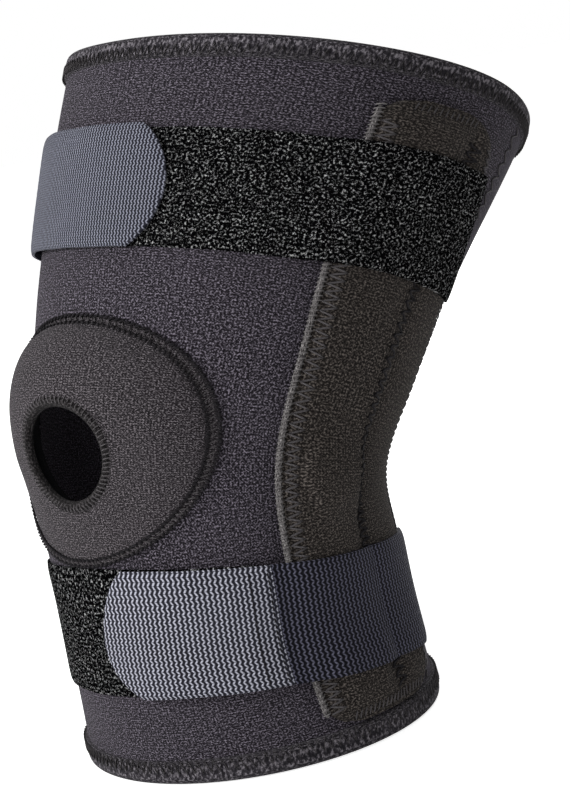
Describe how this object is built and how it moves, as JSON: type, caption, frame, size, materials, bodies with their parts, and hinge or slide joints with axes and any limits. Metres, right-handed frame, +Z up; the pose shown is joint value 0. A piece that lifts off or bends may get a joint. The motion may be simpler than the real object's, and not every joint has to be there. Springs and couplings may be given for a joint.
{
  "type": "knee brace",
  "caption": "Hinged open-patella knee brace: moulded neoprene sleeve, side panels over pivoting steel stays, patella opening, and two hook-and-loop straps.",
  "frame": {"origin": "where the shin axis, which runs through the knee hinge axis, meets the plane of the bottom rim", "axes": "+Z up along the shin, -Y to the front (patella), +X to the outer side of a left leg; the knee hinge axis is parallel to X at z = 0.104 m; the thigh leans back 31 degrees towards +Y"},
  "size_m": [0.1968, 0.2355, 0.2726],
  "materials": {
    "binding": "matt stretch tape",
    "knit_dark": "matt knit",
    "ring_foam": "soft foam rubber",
    "neoprene": "matt jersey over neoprene",
    "panel_cloth": "matt laminated cloth",
    "loop_pile": "brushed loop pile",
    "elastic_dark": "woven elastic",
    "tab_grey": "diagonal knit",
    "hook_nylon": "hook tape",
    "stay_steel": "brushed spring steel",
    "cap_plastic": "dipped vinyl",
    "washer_plastic": "nylon",
    "rivet_steel": "plated steel"
  },
  "bodies": {
    "calf": {"calf_sleeve": "neoprene", "calf_back_panel": "knit_dark", "bottom_binding": "binding", "knee_sleeve": "neoprene", "popliteal_panel": "knit_dark", "patella_dome": "knit_dark", "aperture_rim": "binding", "patella_ring": "ring_foam", "lateral_pocket_calf": "panel_cloth", "medial_pocket_calf": "panel_cloth", "lateral_pocket_knee": "panel_cloth", "medial_pocket_knee": "panel_cloth", "lower_loop_strip": "loop_pile", "lower_strap": "elastic_dark", "lateral_lower_arm": "stay_steel", "medial_lower_arm": "stay_steel", "lateral_lower_cap": "cap_plastic", "medial_lower_cap": "cap_plastic", "lateral_washer": "washer_plastic", "medial_washer": "washer_plastic", "lateral_rivet": "rivet_steel", "medial_rivet": "rivet_steel"},
    "thigh": {"thigh_sleeve": "neoprene", "thigh_back_panel": "knit_dark", "top_binding": "binding", "lateral_pocket_thigh": "panel_cloth", "medial_pocket_thigh": "panel_cloth", "upper_loop_strip": "loop_pile", "upper_strap": "tab_grey", "lateral_upper_arm": "stay_steel", "medial_upper_arm": "stay_steel", "lateral_upper_cap": "cap_plastic", "medial_upper_cap": "cap_plastic"},
    "upper_tab": {"upper_tab": "tab_grey", "upper_hook_pad": "hook_nylon"},
    "lower_tab": {"lower_tab": "elastic_dark", "lower_hook_pad": "hook_nylon"}
  },
  "joints": [
    {"name": "knee_flexion", "type": "hinge", "parent": "calf", "child": "thigh", "pos_m": [0, 0, 0.104], "axis": [-1, 0, 0], "range_deg": [-28, 62], "stiffness_Nm_per_rad": 2, "deforming": ["knee_sleeve", "popliteal_panel", "lateral_pocket_knee", "medial_pocket_knee"]},
    {"name": "upper_tab_peel", "type": "hinge", "parent": "thigh", "child": "upper_tab", "pos_m": [-0.0563, -0.0097, 0.21191], "axis": [0, -0.515, -0.8572], "range_deg": [0, 80]},
    {"name": "lower_tab_peel", "type": "hinge", "parent": "calf", "child": "lower_tab", "pos_m": [0.06323, -0.02844, 0.05299], "axis": [0, 0.1045, 0.9945], "range_deg": [0, 80]}
  ]
}
